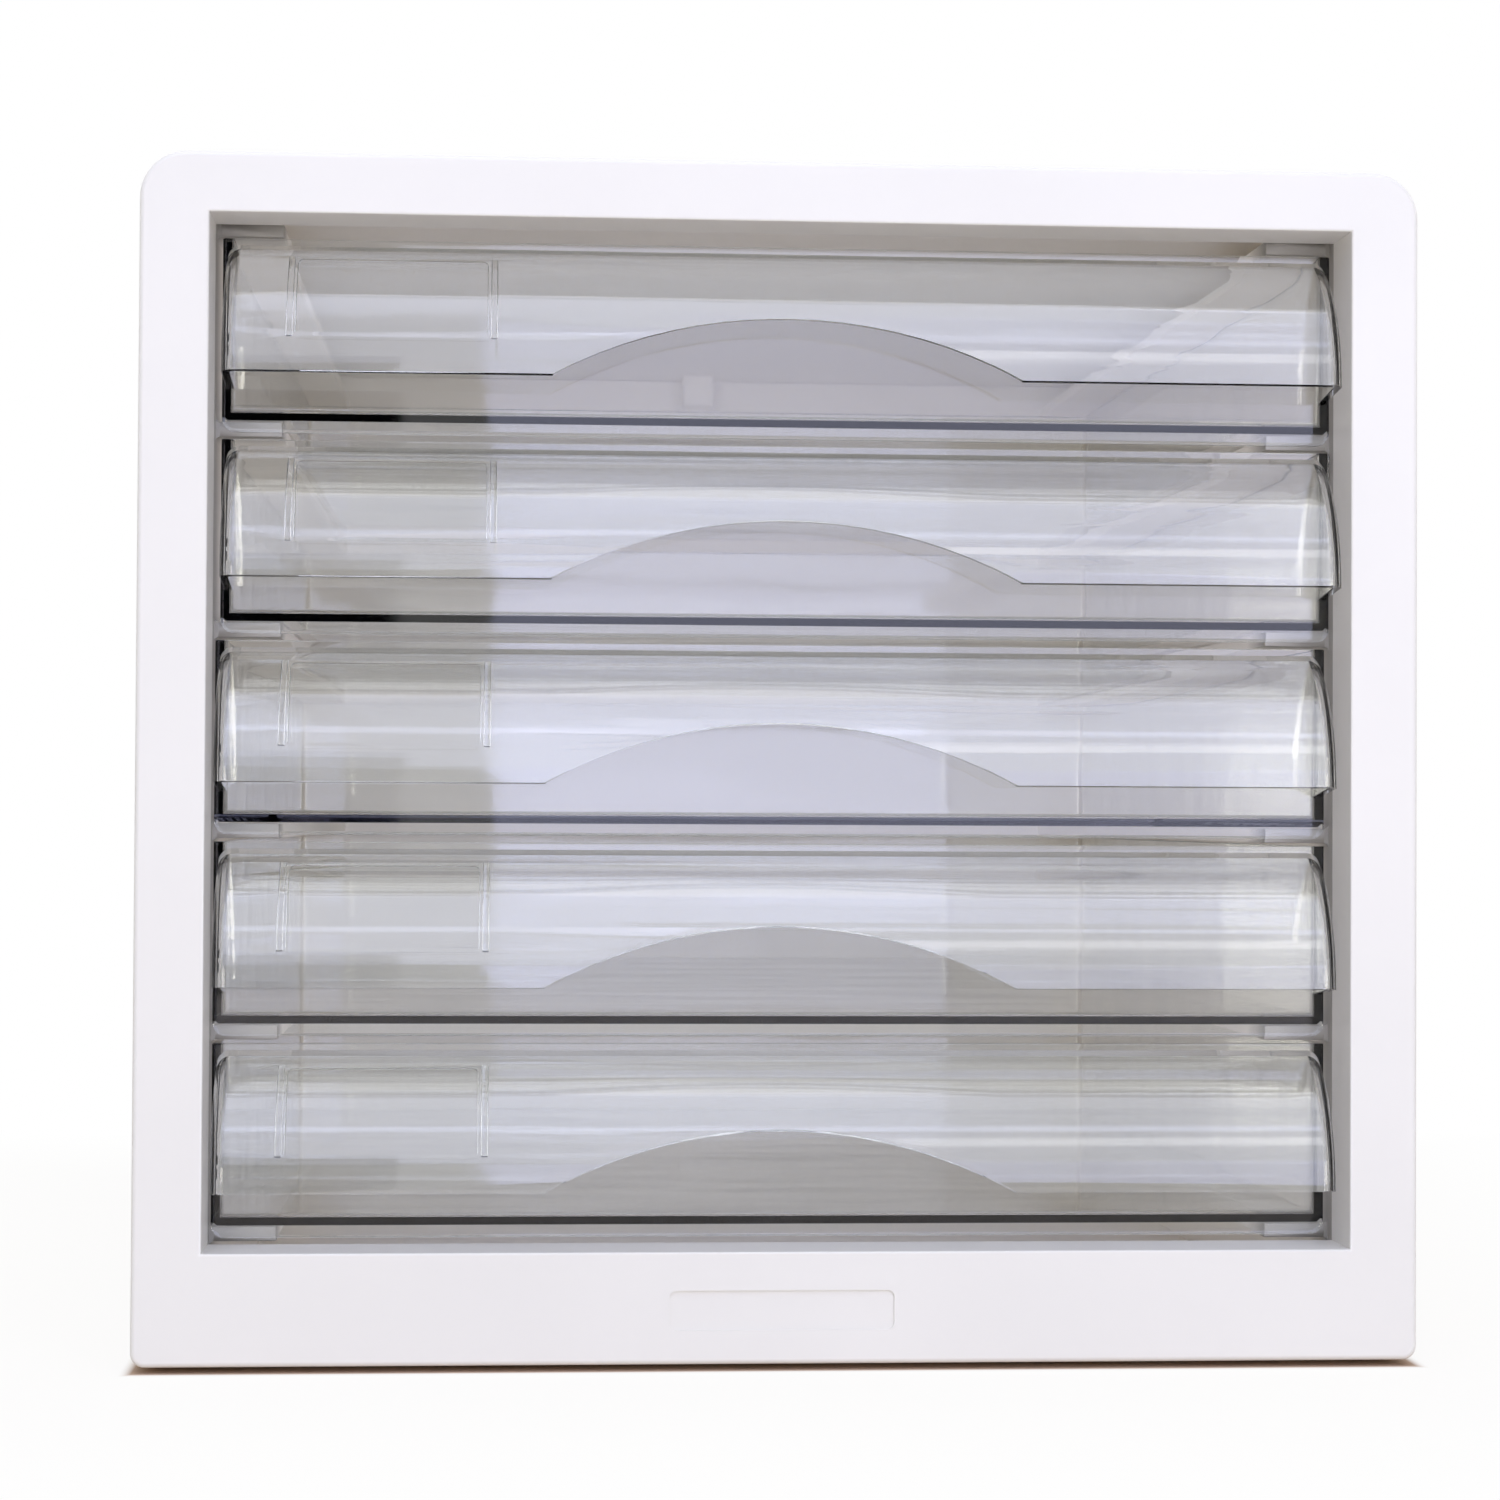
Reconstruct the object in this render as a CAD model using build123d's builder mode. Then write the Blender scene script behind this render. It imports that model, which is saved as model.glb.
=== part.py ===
from build123d import *
import os
from math import sqrt

os.makedirs("parts", exist_ok=True)

# Driving dimensions, in millimetres
# X runs to the right, Y to the back, Z up; the origin is on the table under the middle of the case.

# Drawers
drawer_count = 5
tray_inner_width = 240.2
tray_inner_length = 306.0
tray_height = 39.4
tray_wall = 1.8
tray_floor = 1.6
tray_corner = 3.0
tray_floor_chamfer = 1.0
front_cove = 1.1
skirt_drop = 2.7
skirt_corner = 3.0
rest_shift = 0.5
shift_signs = (1, 1, -1, -1, -1)

# Hood over the finger gap of each drawer
hood_reach = 17.5
hood_setback = 0.5
hood_wall = 1.8
hood_inset = 1.0
hood_corner = 3.0
hood_drop = 1.5
hood_edge = 8.7
hood_end_fall = 2.1
arch_width = 101.0
arch_rise = 12.9

# Label field on the left of each hood
label_width = 40.6
label_height = 18.1
label_corner = 1.0
label_depth = 0.4
label_from_end = 15.8
label_above_edge = 7.4
rib_width = 1.4
rib_depth = 1.0
rib_gap = 0.8

# Runner racks
ledge_width = 14.4
ledge_thickness = 3.2
ledge_root_fillet = 1.0
rack_wall = 2.0
rack_rib = 2.0
rack_rib_spaces = 3

# Front frame
side_border = 14.7
top_border = 12.9
bottom_border = 23.9
frame_face = 2.4
frame_rim = 2.2
frame_depth = 18.0
frame_top_radius = 10.0
frame_bottom_radius = 3.0
frame_edge_fillet = 1.2
opening_edge_fillet = 0.6
reveal_depth = 16.6
reveal_wall = 2.0
plate_width = 48.0
plate_height = 8.4
plate_corner = 1.5
plate_recess = 0.5
plate_rise = 11.5

# Body panels
panel_wall = 2.4
panel_seat = 10.0
seat_rebate = 0.6
top_skirt = 16.0
tongue_height = 5.0
tongue_wall = 1.4
rear_gap = 13.0
back_inset = 3.0

# Screws and the bosses that take them
screw_shank = 2.9
screw_length = 11.0
screw_head = 6.0
screw_head_height = 2.0
boss_length = 12.0
middle_boss_width = 9.0
frame_boss_width = 9.0
frame_boss_spread = 140.0
side_screw_margin = 28.0
base_screw_margin = 45.0

# Feet
foot_lift = 1.2
foot_diameter = 14.0
foot_seat = 0.6
foot_chamfer = 0.6
foot_from_side = 27.0
foot_from_front = 34.0
foot_from_back = 24.0

# Clearances
side_play = 0.9
floor_clearance = 0.3
rim_clearance = 0.7
stop_clearance = 0.3
skirt_gap = 1.0
top_gap = 2.7
panel_fit = 0.2
boss_gap = 0.8
screw_clearance = 0.5
pilot_clearance = 0.1
foot_fit = 0.1

# Drawer sizes that follow
tray_width = tray_inner_width + 2 * tray_wall
tray_length = tray_inner_length + 2 * tray_wall
hood_width = tray_width - 2 * hood_inset
drawer_pitch = tray_height + rim_clearance + ledge_thickness + floor_clearance

# Front frame sizes that follow
opening_half = tray_width / 2 + side_play
lowest_rise = skirt_drop + skirt_gap
opening_height = lowest_rise + (drawer_count - 1) * drawer_pitch + tray_height + top_gap
case_width = 2 * (opening_half + side_border)
frame_height = bottom_border + opening_height + top_border
frame_bottom = foot_lift
frame_top = frame_bottom + frame_height
frame_middle = frame_bottom + frame_height / 2
opening_bottom = frame_bottom + bottom_border
opening_middle = opening_bottom + opening_height / 2

# Depths that follow, from the front face to the back edge of the panels
case_depth = hood_setback + hood_reach + tray_length + rear_gap + panel_wall + back_inset
front = -case_depth / 2
back = case_depth / 2
hood_front = front + hood_setback
tray_front = hood_front + hood_reach
tray_middle = tray_front + tray_length / 2
ledge_front = tray_front + tray_wall + stop_clearance
back_outer = back - back_inset
back_inner = back_outer - panel_wall

# Panel faces that follow
panel_front = front + frame_depth - panel_seat
seat_inset = frame_rim + panel_fit
panel_outer = case_width / 2 - seat_inset + seat_rebate
panel_inner = panel_outer - panel_wall
panel_top = frame_top - seat_inset + seat_rebate
panel_ceiling = panel_top - panel_wall
panel_radius = frame_top_radius - seat_inset + seat_rebate
base_bottom = frame_bottom + seat_inset - seat_rebate
base_top = base_bottom + panel_wall
skirt_bottom = panel_top - top_skirt

# Runner rack faces that follow
rack_inner = opening_half
rack_outer = rack_inner + rack_wall
side_space = panel_inner - rack_outer
rack_front = front + reveal_depth
ledge_inner = rack_inner - ledge_width

# Bosses and screw places that follow
boss_width = side_space - boss_gap
boss_x = panel_inner - boss_width / 2
pilot_radius = (screw_shank + pilot_clearance) / 2
screw_hole_radius = (screw_shank + screw_clearance) / 2
head_way_radius = (screw_head + screw_clearance) / 2
back_screw_z = (base_top + side_screw_margin, skirt_bottom - side_screw_margin)
base_screw_y = (panel_front + base_screw_margin, back_inner - base_screw_margin)
frame_boss_back = panel_front + panel_seat
frame_screw_y = (panel_front + frame_boss_back) / 2
back_screw_places = [(side * boss_x, z) for side in (-1, 1) for z in back_screw_z]
back_screw_places.append((0, base_top + middle_boss_width / 2))
back_screw_places.append((0, panel_ceiling - middle_boss_width / 2))
base_screw_places = [(side * boss_x, y, 0) for side in (-1, 1) for y in base_screw_y]
base_screw_places += [(side * frame_boss_spread / 2, frame_screw_y, seat_rebate) for side in (-1, 1)]


def front_plane(y):
    """Upright plane at depth y that looks to the front, with its own Y axis up."""
    return Plane.XZ.offset(-y)


def floor_height(level):
    """Underside of the tray floor, counted from the lowest drawer, which is level 0."""
    return opening_bottom + lowest_rise + level * drawer_pitch


def ledge_top(level):
    """Face that the tray floor of this level slides on."""
    return floor_height(level) - floor_clearance


def back_screw_planes(y):
    """Planes on a back face, one for each back screw, that look to the back."""
    return [Plane(origin=(x, y, z), z_dir=(0, 1, 0)) for x, z in back_screw_places]


def base_screw_planes(z):
    """Planes on a bottom face, one for each base screw, that look down; the rebated edge lies higher."""
    return [Plane(origin=(x, y, z + lift), z_dir=(0, 0, -1)) for x, y, lift in base_screw_places]


def finish(builder, name):
    """Names a finished piece and writes it."""
    builder.part.label = name
    export_step(builder.part, f"parts/{name}.step")


# Front frame: a hollow bezel with a deep reveal round the drawers
with BuildPart() as front_frame:
    with BuildSketch(front_plane(front)) as bezel:
        with Locations((0, frame_middle)):
            Rectangle(case_width, frame_height)
        fillet(bezel.vertices().group_by(Axis.Y)[-1], frame_top_radius)
        fillet(bezel.vertices().group_by(Axis.Y)[0], frame_bottom_radius)
    extrude(amount=-frame_depth)
    with BuildSketch(front_plane(front + frame_face)) as hollow:
        with Locations((0, frame_middle)):
            Rectangle(case_width - 2 * frame_rim, frame_height - 2 * frame_rim)
        fillet(hollow.vertices().group_by(Axis.Y)[-1], frame_top_radius - frame_rim)
    extrude(amount=-(frame_depth - frame_face), mode=Mode.SUBTRACT)
    # Reveal walls
    with BuildSketch(front_plane(front + frame_face)):
        with Locations((0, opening_middle)):
            Rectangle(2 * (opening_half + reveal_wall), opening_height + 2 * reveal_wall)
    extrude(amount=-(reveal_depth - frame_face))
    # Opening for the drawers
    with BuildSketch(front_plane(front)):
        with Locations((0, opening_middle)):
            Rectangle(2 * opening_half, opening_height)
    extrude(amount=-reveal_depth, mode=Mode.SUBTRACT)
    # Bosses on the base for the frame screws
    with BuildSketch(front_plane(front + frame_face)):
        with Locations((0, base_top + boss_length / 2)):
            with GridLocations(frame_boss_spread, 1, 2, 1):
                Rectangle(frame_boss_width, boss_length)
    extrude(amount=-(frame_boss_back - front - frame_face))
    with Locations(*base_screw_planes(base_top)[-2:]):
        Hole(pilot_radius, screw_length)
    # Ways through the bottom rim for the heads of those screws
    with Locations(*base_screw_planes(frame_bottom)[-2:]):
        Hole(head_way_radius, frame_rim)
    # Soft edges of the face
    face = front_frame.faces().sort_by(Axis.Y)[0]
    fillet(face.outer_wire().edges(), frame_edge_fillet)
    face = front_frame.faces().sort_by(Axis.Y)[0]
    fillet(face.inner_wires()[0].edges(), opening_edge_fillet)
    # Bare recess for a name plate on the bottom rail
    with BuildSketch(front_plane(front)):
        with Locations((0, frame_bottom + plate_rise)):
            RectangleRounded(plate_width, plate_height, plate_corner)
    extrude(amount=-plate_recess, mode=Mode.SUBTRACT)
finish(front_frame, "front_frame")


# Space that the rim of the frame takes round the panels: their front edges are rebated by it
with BuildPart() as seat_ring:
    with BuildSketch(front_plane(panel_front)):
        with Locations((0, frame_middle)):
            Rectangle(case_width, frame_height)
        with BuildSketch(mode=Mode.PRIVATE) as seat_line:
            with Locations((0, frame_middle)):
                Rectangle(case_width - 2 * seat_inset, frame_height - 2 * seat_inset)
            fillet(seat_line.vertices().group_by(Axis.Y)[-1], frame_top_radius - seat_inset)
        add(seat_line.sketch, mode=Mode.SUBTRACT)
    extrude(amount=-(panel_seat + panel_fit))


# Top panel: rolled over on both long edges, its front edge seated inside the rim of the frame
with BuildPart() as top_panel:
    with BuildSketch(front_plane(panel_front)) as roll:
        with Locations((0, skirt_bottom)):
            Rectangle(2 * panel_outer, top_skirt, align=(Align.CENTER, Align.MIN))
        fillet(roll.vertices().group_by(Axis.Y)[-1], panel_radius)
        with BuildSketch(mode=Mode.PRIVATE) as under:
            with Locations((0, skirt_bottom)):
                Rectangle(2 * panel_inner, top_skirt - panel_wall, align=(Align.CENTER, Align.MIN))
            fillet(under.vertices().group_by(Axis.Y)[-1], panel_radius - panel_wall)
        add(under.sketch, mode=Mode.SUBTRACT)
    extrude(amount=-(back - panel_front))
    # Boss for the upper middle screw of the back panel
    with BuildSketch(front_plane(back_inner)):
        with Locations((0, panel_ceiling)):
            Rectangle(middle_boss_width, middle_boss_width, align=(Align.CENTER, Align.MAX))
    extrude(amount=boss_length)
    with Locations(back_screw_planes(back_inner)[-1]):
        Hole(pilot_radius, screw_length)
    add(seat_ring.part, mode=Mode.SUBTRACT)
finish(top_panel, "top_panel")


# Side panels: plain sheets with a tongue behind the skirt of the top panel and bosses for the screws
for side, side_name in ((-1, "left"), (1, "right")):
    with BuildPart() as side_panel:
        with BuildSketch(front_plane(panel_front)):
            with Locations((side * (panel_outer + panel_inner) / 2, base_bottom)):
                Rectangle(panel_wall, skirt_bottom - base_bottom, align=(Align.CENTER, Align.MIN))
            tongue_x = panel_inner - panel_fit - tongue_wall / 2
            with Locations((side * tongue_x, skirt_bottom + tongue_height)):
                Rectangle(tongue_wall, 2 * tongue_height, align=(Align.CENTER, Align.MAX))
            with Locations((side * (panel_inner - panel_fit / 2), skirt_bottom)):
                Rectangle(panel_fit, tongue_height, align=(Align.CENTER, Align.MAX))
        extrude(amount=-(back_inner - panel_front))
        # The sheet itself runs on past the back panel
        with BuildSketch(front_plane(back_inner)):
            with Locations((side * (panel_outer + panel_inner) / 2, base_bottom)):
                Rectangle(panel_wall, skirt_bottom - base_bottom, align=(Align.CENTER, Align.MIN))
        extrude(amount=-(back - back_inner))
        # Bosses for the back screws
        with BuildSketch(front_plane(back_inner)):
            with Locations(*[(side * boss_x, z) for z in back_screw_z]):
                Rectangle(boss_width, boss_width)
        extrude(amount=boss_length)
        # Bosses for the base screws
        with BuildSketch(Plane.XY.offset(base_top)):
            with Locations(*[(side * boss_x, y) for y in base_screw_y]):
                Rectangle(boss_width, boss_width)
        extrude(amount=boss_length)
        own_back = [p for p in back_screw_planes(back_inner) if p.origin.X * side > 0]
        own_base = [p for p in base_screw_planes(base_top)[:-2] if p.origin.X * side > 0]
        with Locations(*own_back):
            Hole(pilot_radius, screw_length)
        with Locations(*own_base):
            Hole(pilot_radius, screw_length)
        add(seat_ring.part, mode=Mode.SUBTRACT)
    finish(side_panel, f"{side_name}_side_panel")


# Base panel: between the side panels, with seats for the feet
foot_places = {
    "front_left": (-panel_outer + foot_from_side, front + foot_from_front),
    "front_right": (panel_outer - foot_from_side, front + foot_from_front),
    "rear_left": (-panel_outer + foot_from_side, back - foot_from_back),
    "rear_right": (panel_outer - foot_from_side, back - foot_from_back),
}
with BuildPart() as base_panel:
    with BuildSketch(Plane.XY.offset(base_bottom)):
        with Locations((0, (panel_front + back) / 2)):
            Rectangle(2 * (panel_inner - panel_fit), back - panel_front)
    extrude(amount=panel_wall)
    with BuildSketch(Plane.XY.offset(base_bottom)):
        with Locations(*foot_places.values()):
            Circle(foot_diameter / 2 + foot_fit)
    extrude(amount=foot_seat, mode=Mode.SUBTRACT)
    # Boss for the lower middle screw of the back panel
    with BuildSketch(front_plane(back_inner)):
        with Locations((0, base_top)):
            Rectangle(middle_boss_width, middle_boss_width, align=(Align.CENTER, Align.MIN))
    extrude(amount=boss_length)
    with Locations(back_screw_planes(back_inner)[-2]):
        Hole(pilot_radius, screw_length)
    with Locations(*base_screw_planes(base_bottom)):
        Hole(screw_hole_radius, panel_wall)
    add(seat_ring.part, mode=Mode.SUBTRACT)
finish(base_panel, "base_panel")


# Back panel: let in between the other panels and screwed to their bosses
with BuildPart() as back_panel:
    with BuildSketch(front_plane(back_inner)) as back_sheet:
        with Locations((0, (base_top + panel_ceiling) / 2)):
            Rectangle(2 * (panel_inner - panel_fit), panel_ceiling - base_top - 2 * panel_fit)
        fillet(back_sheet.vertices().group_by(Axis.Y)[-1], panel_radius - panel_wall)
    extrude(amount=-panel_wall)
    with Locations(*back_screw_planes(back_outer)):
        Hole(screw_hole_radius, panel_wall)
finish(back_panel, "back_panel")


# Runner racks: inner walls with a ledge under each drawer and one above the top drawer
ledge_levels = range(drawer_count + 1)
rack_height = panel_ceiling - base_top
rib_height = skirt_bottom - tongue_height - base_top
rib_from_screw = boss_width / 2 + boss_gap + rack_rib / 2
first_rib = base_screw_y[0] + rib_from_screw
last_rib = base_screw_y[1] - rib_from_screw
rib_pitch = (last_rib - first_rib) / rack_rib_spaces
rib_places = [first_rib + rib_pitch * number for number in range(rack_rib_spaces + 1)]
for side, side_name in ((-1, "left"), (1, "right")):
    with BuildPart() as rack:
        with BuildSketch(front_plane(rack_front)):
            with Locations((side * (rack_inner + rack_outer) / 2, base_top)):
                Rectangle(rack_wall, rack_height, align=(Align.CENTER, Align.MIN))
        extrude(amount=-(back_inner - rack_front))
        with BuildSketch(front_plane(ledge_front)) as ledges:
            with Locations((side * (rack_inner + rack_outer) / 2, base_top)):
                Rectangle(rack_wall, rack_height, align=(Align.CENTER, Align.MIN))
            reach = ledge_width + rack_wall
            with Locations(*[(side * (ledge_inner + reach / 2), ledge_top(n)) for n in ledge_levels]):
                Rectangle(reach, ledge_thickness, align=(Align.CENTER, Align.MAX))
            roots = ledges.vertices().filter_by(lambda v: abs(abs(v.X) - rack_inner) < panel_fit)
            fillet(roots.sort_by(Axis.Y)[1:-1], ledge_root_fillet)
        extrude(amount=-(back_inner - ledge_front))
        # Stiffening ribs that reach the side panel
        for place in rib_places:
            with BuildSketch(front_plane(place)):
                with Locations((side * (rack_outer + side_space / 2), base_top)):
                    Rectangle(side_space, rib_height, align=(Align.CENTER, Align.MIN))
            extrude(amount=rack_rib / 2, both=True)
    finish(rack, f"{side_name}_runner_rack")


# Screws: flat heads outside the panels, shanks in the bosses
with BuildPart() as screw:
    with BuildSketch():
        Circle(screw_head / 2)
    extrude(amount=screw_head_height)
    with BuildSketch():
        Circle(screw_shank / 2)
    extrude(amount=-screw_length)

with BuildPart() as back_panel_screws:
    with Locations(*back_screw_planes(back_outer)):
        add(screw.part)
finish(back_panel_screws, "back_panel_screws")

with BuildPart() as base_panel_screws:
    with Locations(*base_screw_planes(base_bottom)):
        add(screw.part)
finish(base_panel_screws, "base_panel_screws")


# Feet: rubber pads pressed into the seats of the base panel
for foot_name, (foot_x, foot_y) in foot_places.items():
    with BuildPart() as foot:
        with BuildSketch():
            with Locations((foot_x, foot_y)):
                Circle(foot_diameter / 2)
        extrude(amount=base_bottom + foot_seat)
        chamfer(foot.edges().group_by(Axis.Z)[0], foot_chamfer)
    finish(foot, f"foot_{foot_name}")


# Hood of a drawer, in the drawer's own height: zero is the underside of the tray floor
hood_top = tray_height - hood_drop
hood_height = hood_top - hood_edge
hood_radius = (hood_reach**2 + hood_height**2) / (2 * hood_reach)
hood_axis = (hood_front + hood_radius, hood_edge)
roof_radius = hood_radius - hood_wall
roof_top = hood_edge + sqrt(roof_radius**2 - (hood_radius - hood_reach) ** 2)
hood_end_bottom = hood_edge - hood_end_fall

with BuildPart() as finger_space:
    with BuildSketch(Plane.YZ):
        with BuildLine():
            inner_edge = (hood_front + hood_wall, hood_edge)
            roof = (tray_front, roof_top)
            TangentArc(inner_edge, roof, tangent=(0, 1))
            Polyline(roof, (tray_front, -skirt_drop), (inner_edge[0], -skirt_drop), inner_edge)
        make_face()
    extrude(amount=hood_width / 2 - hood_wall, both=True)
    fillet(finger_space.edges().filter_by(GeomType.CIRCLE), hood_corner - hood_wall)

label_x = -hood_width / 2 + label_from_end + label_width / 2
label_z = hood_edge + label_above_edge + label_height / 2
with BuildPart() as label_field:
    with BuildSketch(front_plane(hood_front - label_depth)):
        with Locations((label_x, label_z)):
            RectangleRounded(label_width, label_height, label_corner)
    extrude(amount=-hood_reach)
    with BuildSketch(Plane.YZ):
        with Locations(hood_axis):
            Circle(hood_radius - label_depth)
    extrude(amount=hood_width, both=True, mode=Mode.SUBTRACT)

with BuildPart() as label_ribs:
    with BuildSketch(front_plane(hood_front)):
        with Locations((label_x, label_z)):
            with GridLocations(label_width + 2 * rib_gap + rib_width, 1, 2, 1):
                Rectangle(rib_width, label_height)
    extrude(amount=-hood_reach)
    with BuildSketch(Plane.YZ):
        with Locations(hood_axis):
            Circle(roof_radius - rib_depth)
    extrude(amount=hood_width, both=True, mode=Mode.SUBTRACT)
    with BuildSketch(Plane.YZ):
        with Locations(hood_axis):
            Circle(roof_radius + hood_wall / 2)
    extrude(amount=hood_width, both=True, mode=Mode.INTERSECT)

with BuildPart() as hood:
    with BuildSketch(Plane.YZ):
        with BuildLine():
            edge = (hood_front, hood_edge)
            crest = (tray_front, hood_top)
            TangentArc(edge, crest, tangent=(0, 1))
            in_wall = tray_front + tray_wall / 2
            Polyline(crest, (in_wall, hood_top), (in_wall, hood_end_bottom), (tray_front, hood_end_bottom), edge)
        make_face()
    extrude(amount=hood_width / 2, both=True)
    fillet(hood.edges().filter_by(GeomType.CIRCLE), hood_corner)
    add(finger_space.part, mode=Mode.SUBTRACT)
    # Arch for the fingers in the lower edge
    with BuildSketch(front_plane(hood_front - hood_wall)):
        with BuildLine():
            left_foot = (-arch_width / 2, hood_edge)
            right_foot = (arch_width / 2, hood_edge)
            ThreePointArc(left_foot, (0, hood_edge + arch_rise), right_foot)
            Polyline(right_foot, (arch_width / 2, 0), (-arch_width / 2, 0), left_foot)
        make_face()
    extrude(amount=-(hood_wall + hood_reach / 2), mode=Mode.SUBTRACT)
    add(label_field.part, mode=Mode.SUBTRACT)
    add(label_ribs.part)


# Drawer: tray, front wall with its skirt, and hood in one clear moulding
with BuildPart() as moulding:
    with BuildSketch():
        with Locations((0, tray_middle)):
            RectangleRounded(tray_width, tray_length, tray_corner)
    extrude(amount=tray_height)
    chamfer(moulding.edges().group_by(Axis.Z)[0], tray_floor_chamfer)
    with BuildSketch(front_plane(tray_front)) as front_wall:
        with Locations((0, -skirt_drop)):
            Rectangle(tray_width, tray_height + skirt_drop, align=(Align.CENTER, Align.MIN))
        fillet(front_wall.vertices().group_by(Axis.Y)[0], skirt_corner)
    extrude(amount=-tray_wall)
    with BuildSketch(Plane.XY.offset(tray_floor)):
        with Locations((0, tray_middle)):
            RectangleRounded(tray_inner_width, tray_inner_length, tray_corner - tray_wall)
    extrude(amount=tray_height, mode=Mode.SUBTRACT)
    # Cove along the foot of the front wall
    with BuildSketch(Plane.YZ):
        with BuildLine():
            cove_top = (tray_front + tray_wall, tray_floor + front_cove)
            cove_end = (tray_front + tray_wall + front_cove, tray_floor)
            TangentArc(cove_top, cove_end, tangent=(0, -1))
            Polyline(cove_end, (tray_front + tray_wall, tray_floor), cove_top)
        make_face()
    extrude(amount=tray_inner_width / 2, both=True)
    add(hood.part)

for number in range(1, drawer_count + 1):
    with BuildPart() as drawer:
        shift = rest_shift * shift_signs[(number - 1) % len(shift_signs)]
        with Locations((shift, 0, floor_height(drawer_count - number))):
            add(moulding.part)
    finish(drawer, f"drawer_{number}")
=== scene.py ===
"""Desktop drawer case: a white moulded case with five clear drawers, finished and set in a small studio."""

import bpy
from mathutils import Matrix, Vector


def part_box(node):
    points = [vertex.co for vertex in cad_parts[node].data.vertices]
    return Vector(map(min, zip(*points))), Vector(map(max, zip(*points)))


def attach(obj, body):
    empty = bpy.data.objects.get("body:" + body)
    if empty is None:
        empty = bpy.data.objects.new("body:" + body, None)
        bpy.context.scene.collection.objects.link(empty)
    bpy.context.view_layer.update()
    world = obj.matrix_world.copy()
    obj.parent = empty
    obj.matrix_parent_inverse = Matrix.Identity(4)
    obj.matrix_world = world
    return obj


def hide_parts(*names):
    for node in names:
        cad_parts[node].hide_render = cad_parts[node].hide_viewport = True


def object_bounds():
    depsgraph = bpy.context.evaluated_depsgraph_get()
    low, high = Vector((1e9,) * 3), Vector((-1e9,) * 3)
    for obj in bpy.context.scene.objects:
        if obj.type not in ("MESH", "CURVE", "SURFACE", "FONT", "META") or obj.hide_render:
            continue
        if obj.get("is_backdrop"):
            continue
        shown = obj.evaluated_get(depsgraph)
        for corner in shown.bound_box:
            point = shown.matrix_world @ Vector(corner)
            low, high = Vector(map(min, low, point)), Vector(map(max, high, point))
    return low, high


bl_info = {
    "name": "Desktop Drawer Case",
    "version": (1, 0, 0),
    "blender": (4, 5, 0),
    "location": "View3D > Sidebar > Drawer Case",
    "description": "Finishes the pieces of a desktop drawer case and sets up its studio",
    "category": "Object",
}

from math import cos, pi, radians, sin

import bmesh
import bpy
from bpy.props import FloatProperty, FloatVectorProperty, PointerProperty
from mathutils import Matrix, Vector

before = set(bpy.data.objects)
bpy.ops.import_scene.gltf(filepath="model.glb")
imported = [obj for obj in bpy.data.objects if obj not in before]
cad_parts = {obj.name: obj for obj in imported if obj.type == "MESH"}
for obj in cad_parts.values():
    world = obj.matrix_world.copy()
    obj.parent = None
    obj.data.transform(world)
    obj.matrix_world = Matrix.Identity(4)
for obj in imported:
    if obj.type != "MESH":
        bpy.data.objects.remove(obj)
cad_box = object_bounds()

# Sizes that the meshes share, in metres and radians
MM = 0.001
JOIN_DISTANCE = 5e-6
FLAT_ANGLE = radians(0.4)
SHARP_ANGLE = radians(30)
CUSP_ANGLE = radians(25)
SMOOTH_ANGLE = radians(50)
HOLE_EDGE = 1.0 * MM
ROUND_SEGMENTS = 2
ROUND_ROOM = 3

# Depths between which the racks go from the painted shade of their front ends to their full colour
LEDGE_FRONT = -152 * MM
LEDGE_CLEAR = -135 * MM

# Bodies, slots and the pieces that belong to them
CASE_BODY = "cabinet"
OUTER_PANELS = ("top_panel", "left_side_panel", "right_side_panel", "base_panel", "back_panel")
RUNNER_RACKS = ("left_runner_rack", "right_runner_rack")
DRAWERS = sorted(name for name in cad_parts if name.startswith("drawer_"))
FEET = sorted(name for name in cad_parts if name.startswith("foot_"))


def linear(hex_colour):
    """Linear colour of an sRGB hex value such as F1EFF4."""
    channels = [int(hex_colour[place:place + 2], 16) / 255 for place in (0, 2, 4)]
    return tuple(c / 12.92 if c <= 0.04045 else ((c + 0.055) / 1.055) ** 2.4 for c in channels)


def per(millimetres):
    """Scale of a pattern whose features are this wide, on coordinates in metres."""
    return 1000 / millimetres


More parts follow.
